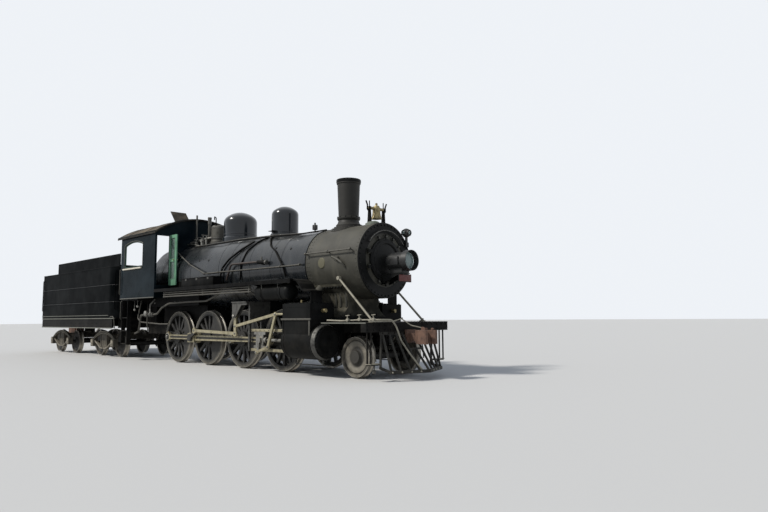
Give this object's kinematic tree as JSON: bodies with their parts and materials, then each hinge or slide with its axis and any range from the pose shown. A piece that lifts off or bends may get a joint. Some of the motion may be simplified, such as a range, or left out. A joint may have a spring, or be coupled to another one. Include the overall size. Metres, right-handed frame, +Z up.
{
  "type": "steam locomotive with tender",
  "caption": "Weathered black steam locomotive with spoked driving wheels, outside valve gear, small leading wheels, open cab door and tender",
  "frame": {"origin": "On the rails' top less the flange depth, under the middle of the machine's overall box", "axes": "+X forward along the track, +Y to the left, +Z up"},
  "size_m": [19.37, 3.06, 4.764],
  "materials": {
    "boiler_blue": "glossy, dusty, blue-black",
    "smokebox_grey": "matte, weathered, olive grey",
    "frame_black": "satin, oily, dusty",
    "wheel_black": "matte, dusty, with bright tread",
    "rod_steel": "oily, worn, cream tinged",
    "bright_steel": "machined, oily",
    "cab_black": "glossy, dusty, blue-black",
    "door_green": "satin mint green",
    "tender_black": "satin, dusty",
    "truck_grey": "matte, dusty, pale grey",
    "brass": "dull, tarnished",
    "rust": "matte, rusty",
    "lamp_grey": "satin grey"
  },
  "bodies": {
    "engine": {"main_frames": "frame_black", "pilot_beam": "frame_black", "pilot": "frame_black", "front_coupler": "rust", "cylinders_and_saddle": "frame_black", "motion_brackets": "bright_steel", "valve_gear": "rod_steel", "smokebox": "smokebox_grey", "marker_lamp": "lamp_grey", "boiler_jacket": "boiler_blue", "firebox": "frame_black", "backhead": "frame_black", "smokestack": "smokebox_grey", "sand_dome": "boiler_blue", "steam_dome": "boiler_blue", "turret": "lamp_grey", "bell_stand": "frame_black", "running_boards": "frame_black", "air_tanks": "frame_black", "cooling_pipes": "frame_black", "air_pump": "frame_black", "brace_rods": "bright_steel", "handrails": "bright_steel", "cab_sides": "cab_black", "cab_front": "cab_black", "cab_roof": "cab_black", "cab_deck": "frame_black", "driver_brakes": "frame_black", "drawbar_pin": "frame_black"},
    "smokebox_door_body": {"smokebox_door": "smokebox_grey", "headlight": "lamp_grey"},
    "bell_body": {"bell": "brass"},
    "hatch_body": {"roof_hatch": "cab_black"},
    "cab_door_right_body": {"cab_door_right": "door_green"},
    "cab_door_left_body": {"cab_door_left": "door_green"},
    "axle_1": {"driver_wheelset_1": "wheel_black"},
    "axle_2": {"driver_wheelset_2": "wheel_black"},
    "axle_3": {"driver_wheelset_3": "wheel_black"},
    "axle_4": {"driver_wheelset_4": "wheel_black"},
    "side_rod_right_body": {"side_rod_right": "rod_steel"},
    "side_rod_left_body": {"side_rod_left": "rod_steel"},
    "main_rod_right_body": {"main_rod_right": "rod_steel"},
    "main_rod_left_body": {"main_rod_left": "rod_steel"},
    "crosshead_right_body": {"crosshead_right": "bright_steel"},
    "crosshead_left_body": {"crosshead_left": "bright_steel"},
    "pilot_truck_body": {"pilot_truck": "frame_black"},
    "pilot_axle": {"pilot_wheelset": "wheel_black"},
    "tender": {"tender_tank": "tender_black", "tender_frame": "frame_black", "rear_coupler": "rust"},
    "filler_lid_body": {"tender_filler_lid": "tender_black"},
    "tender_truck_front_body": {"tender_truck_front": "truck_grey"},
    "tender_truck_rear_body": {"tender_truck_rear": "truck_grey"},
    "tender_axle_1": {"tender_wheelset_1": "wheel_black"},
    "tender_axle_2": {"tender_wheelset_2": "wheel_black"},
    "tender_axle_3": {"tender_wheelset_3": "wheel_black"},
    "tender_axle_4": {"tender_wheelset_4": "wheel_black"}
  },
  "joints": [
    {"name": "driver_roll_3", "type": "hinge", "parent": "engine", "child": "axle_3", "pos_m": [2.415, 0, 0.752], "axis": [0, 1, 0], "continuous": true},
    {"name": "driver_roll_1", "type": "hinge", "parent": "engine", "child": "axle_1", "pos_m": [5.767, 0, 0.752], "axis": [0, 1, 0], "continuous": true},
    {"name": "driver_roll_2", "type": "hinge", "parent": "engine", "child": "axle_2", "pos_m": [4.091, 0, 0.752], "axis": [0, 1, 0], "continuous": true},
    {"name": "driver_roll_4", "type": "hinge", "parent": "engine", "child": "axle_4", "pos_m": [0.739, 0, 0.752], "axis": [0, 1, 0], "continuous": true},
    {"name": "side_rod_right_pin", "type": "hinge", "parent": "axle_3", "child": "side_rod_right_body", "pos_m": [2.0595, -0.932, 0.752], "axis": [0, 1, 0], "continuous": true},
    {"name": "side_rod_left_pin", "type": "hinge", "parent": "axle_3", "child": "side_rod_left_body", "pos_m": [2.415, 0.932, 0.3965], "axis": [0, 1, 0], "continuous": true},
    {"name": "crosshead_right_slide", "type": "slide", "parent": "engine", "child": "crosshead_right_body", "axis": [1, 0, 0], "range_m": [0, 0.711]},
    {"name": "crosshead_left_slide", "type": "slide", "parent": "engine", "child": "crosshead_left_body", "axis": [1, 0, 0], "range_m": [-0.33603, 0.37497]},
    {"name": "main_rod_right_pin", "type": "hinge", "parent": "crosshead_right_body", "child": "main_rod_right_body", "pos_m": [5.3145, -1.09, 0.752], "axis": [0, 1, 0], "range_deg": [-6.27, 6.27]},
    {"name": "main_rod_left_pin", "type": "hinge", "parent": "crosshead_left_body", "child": "main_rod_left_body", "pos_m": [5.65053, 1.09, 0.752], "axis": [0, 1, 0], "range_deg": [0, 12.54]},
    {"name": "pilot_truck_swivel", "type": "hinge", "parent": "engine", "child": "pilot_truck_body", "pos_m": [6.865, 0, 0.51], "axis": [0, 0, 1], "range_deg": [-3.5, 3.5]},
    {"name": "pilot_wheel_roll", "type": "hinge", "parent": "pilot_truck_body", "child": "pilot_axle", "pos_m": [8.235, 0, 0.447], "axis": [0, 1, 0], "continuous": true},
    {"name": "tender_yaw", "type": "hinge", "parent": "engine", "child": "tender", "pos_m": [-1.885, 0, 1.078], "axis": [0, 0, 1], "range_deg": [-4, 4]},
    {"name": "tender_truck_front_swivel", "type": "hinge", "parent": "tender", "child": "tender_truck_front_body", "pos_m": [-4.015, 0, 0.82], "axis": [0, 0, 1], "range_deg": [-6, 6]},
    {"name": "tender_truck_rear_swivel", "type": "hinge", "parent": "tender", "child": "tender_truck_rear_body", "pos_m": [-8.015, 0, 0.82], "axis": [0, 0, 1], "range_deg": [-6, 6]},
    {"name": "tender_wheel_roll_1", "type": "hinge", "parent": "tender_truck_front_body", "child": "tender_axle_1", "pos_m": [-3.175, 0, 0.447], "axis": [0, 1, 0], "continuous": true},
    {"name": "tender_wheel_roll_2", "type": "hinge", "parent": "tender_truck_front_body", "child": "tender_axle_2", "pos_m": [-4.855, 0, 0.447], "axis": [0, 1, 0], "continuous": true},
    {"name": "tender_wheel_roll_3", "type": "hinge", "parent": "tender_truck_rear_body", "child": "tender_axle_3", "pos_m": [-7.175, 0, 0.447], "axis": [0, 1, 0], "continuous": true},
    {"name": "tender_wheel_roll_4", "type": "hinge", "parent": "tender_truck_rear_body", "child": "tender_axle_4", "pos_m": [-8.855, 0, 0.447], "axis": [0, 1, 0], "continuous": true},
    {"name": "smokebox_door_hinge", "type": "hinge", "parent": "engine", "child": "smokebox_door_body", "pos_m": [8.3673, -0.525, 2.518], "axis": [0, 0, 1], "range_deg": [-100, 0]},
    {"name": "bell_swing", "type": "hinge", "parent": "engine", "child": "bell_body", "pos_m": [8.085, 0, 3.7], "axis": [0, 1, 0], "range_deg": [-35, 35]},
    {"name": "roof_hatch_hinge", "type": "hinge", "parent": "engine", "child": "hatch_body", "pos_m": [-0.675, 0, 4.3663], "axis": [0, 1, 0], "range_deg": [-49, 40]},
    {"name": "cab_door_right_hinge", "type": "hinge", "parent": "engine", "child": "cab_door_right_body", "pos_m": [0.537, -1.027, 2.988], "axis": [0, 0, 1], "range_deg": [-90, 0]},
    {"name": "cab_door_left_hinge", "type": "hinge", "parent": "engine", "child": "cab_door_left_body", "pos_m": [0.537, 1.027, 2.988], "axis": [0, 0, 1], "range_deg": [-90, 0]},
    {"name": "filler_lid_hinge", "type": "hinge", "parent": "tender", "child": "filler_lid_body", "pos_m": [-8.197, 0, 3.1108], "axis": [0, -1, 0], "range_deg": [0, 100]}
  ],
  "couplings": [
    {"joint": "driver_roll_1", "follows": "driver_roll_3", "ratio": 1},
    {"joint": "driver_roll_2", "follows": "driver_roll_3", "ratio": 1},
    {"joint": "driver_roll_4", "follows": "driver_roll_3", "ratio": 1},
    {"joint": "side_rod_right_pin", "follows": "driver_roll_3", "ratio": -1},
    {"joint": "side_rod_left_pin", "follows": "driver_roll_3", "ratio": -1}
  ]
}
